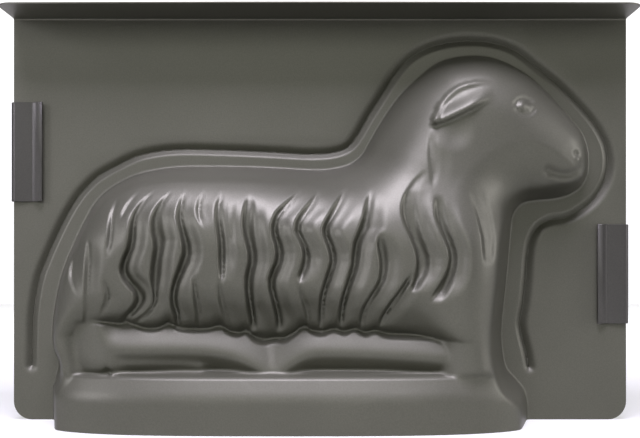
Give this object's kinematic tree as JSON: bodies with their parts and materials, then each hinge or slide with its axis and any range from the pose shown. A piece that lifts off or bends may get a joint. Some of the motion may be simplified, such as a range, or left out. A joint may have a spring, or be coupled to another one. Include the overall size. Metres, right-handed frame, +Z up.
{
  "type": "lamb cake mould",
  "caption": "Lamb-shaped baking mould of pressed sheet steel in two nesting halves with top flanges, held together by spring clips.",
  "frame": {"origin": "centre of the mould's footprint box, on the plane that the plinth's rim stands on", "axes": "+X along the lamb towards its head, +Y from the front half to the back half, +Z up"},
  "size_m": [0.3024, 0.1015, 0.197],
  "materials": {
    "coated_sheet": "dark non-stick coat, satin, slightly metallic",
    "spring_clip": "dark coated spring steel, satin"
  },
  "bodies": {
    "mould": {"front_half": "coated_sheet", "back_half": "coated_sheet"},
    "left_clip": {"clip_left": "spring_clip"},
    "right_clip": {"clip_right": "spring_clip"}
  },
  "joints": [
    {"name": "clip_left_slide", "type": "slide", "parent": "mould", "child": "left_clip", "axis": [-1, 0, 0], "range_m": [0, 0.03]},
    {"name": "clip_right_slide", "type": "slide", "parent": "mould", "child": "right_clip", "axis": [1, 0, 0], "range_m": [0, 0.03]}
  ]
}
